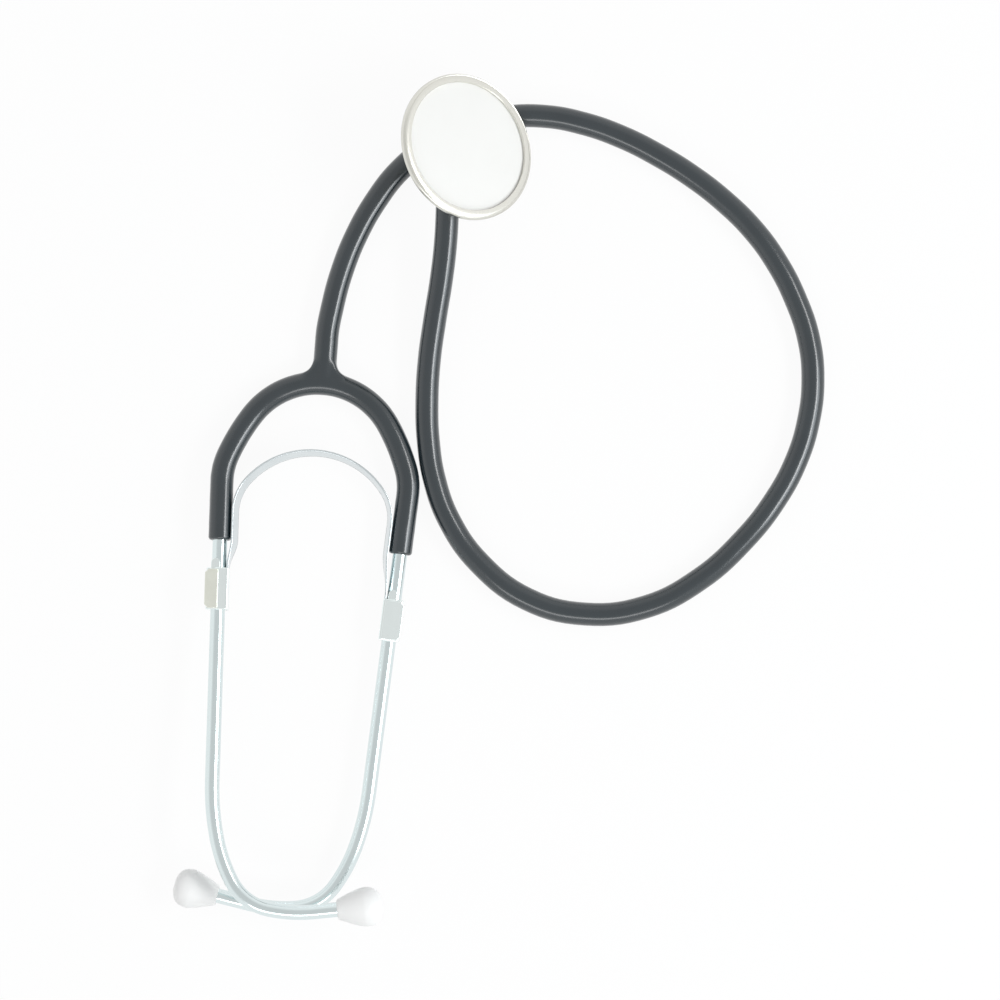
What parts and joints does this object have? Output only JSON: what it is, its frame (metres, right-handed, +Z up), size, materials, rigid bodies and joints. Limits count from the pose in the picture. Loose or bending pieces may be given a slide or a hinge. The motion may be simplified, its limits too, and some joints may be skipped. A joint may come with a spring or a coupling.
{
  "type": "toy stethoscope",
  "caption": "Toy stethoscope with a round listening head, a long rubber hose, a rubber yoke with a leaf spring, and bent metal ear tubes with push-on ear tips.",
  "frame": {"origin": "on the table, under the middle of the object's box with the hose left out", "axes": "+Z up from the table; +Y along the binaural's middle line, from the ear tips towards the listening head; +X to the right in the picture"},
  "size_m": [0.1883, 0.2613, 0.0342],
  "materials": {
    "hose_rubber": "smooth, glossy",
    "spring_steel": "bright strip",
    "clip_steel": "folded bright sheet",
    "tube_metal": "bright plated",
    "tip_plastic": "soft white",
    "head_metal": "satin",
    "diaphragm_plastic": "smooth white",
    "ring_metal": "satin, warm"
  },
  "bodies": {
    "tubing": {"hose": "hose_rubber", "y_junction": "hose_rubber", "left_arm": "hose_rubber", "right_arm": "hose_rubber", "leaf_spring": "spring_steel", "chestpiece_body": "head_metal", "chestpiece_stem": "head_metal", "diaphragm": "diaphragm_plastic"},
    "left_ear": {"left_ear_tube": "tube_metal", "left_spring_clip": "clip_steel"},
    "right_ear": {"right_ear_tube": "tube_metal", "right_spring_clip": "clip_steel"},
    "left_tip": {"left_ear_tip": "tip_plastic"},
    "right_tip": {"right_ear_tip": "tip_plastic"},
    "ring": {"diaphragm_ring": "ring_metal"}
  },
  "joints": [
    {"name": "left_spread", "type": "hinge", "parent": "tubing", "child": "left_ear", "pos_m": [-0.0283, -0.0026, 0.0036], "axis": [0, 0, -1], "range_deg": [-3, 35], "stiffness_Nm_per_rad": 0.25, "deforming": ["leaf_spring", "left_arm"]},
    {"name": "right_spread", "type": "hinge", "parent": "tubing", "child": "right_ear", "pos_m": [0.0037, -0.0026, 0.0036], "axis": [0, 0, 1], "range_deg": [-3, 35], "stiffness_Nm_per_rad": 0.25, "deforming": ["leaf_spring", "right_arm"]},
    {"name": "left_tip_turn", "type": "hinge", "parent": "right_ear", "child": "left_tip", "pos_m": [-0.03841, -0.12498, 0.006], "axis": [-0.9848, 0.1736, -0.0026], "continuous": true},
    {"name": "right_tip_turn", "type": "hinge", "parent": "left_ear", "child": "right_tip", "pos_m": [0.01381, -0.12429, 0.0186], "axis": [0.9848, 0.1729, -0.0164], "continuous": true},
    {"name": "ring_turn", "type": "hinge", "parent": "tubing", "child": "ring", "pos_m": [0.0272, 0.1085, 0.0224], "axis": [0.5085, 0.1952, 0.8387], "continuous": true}
  ],
  "couplings": [
    {"joint": "right_spread", "follows": "left_spread", "ratio": 1}
  ]
}
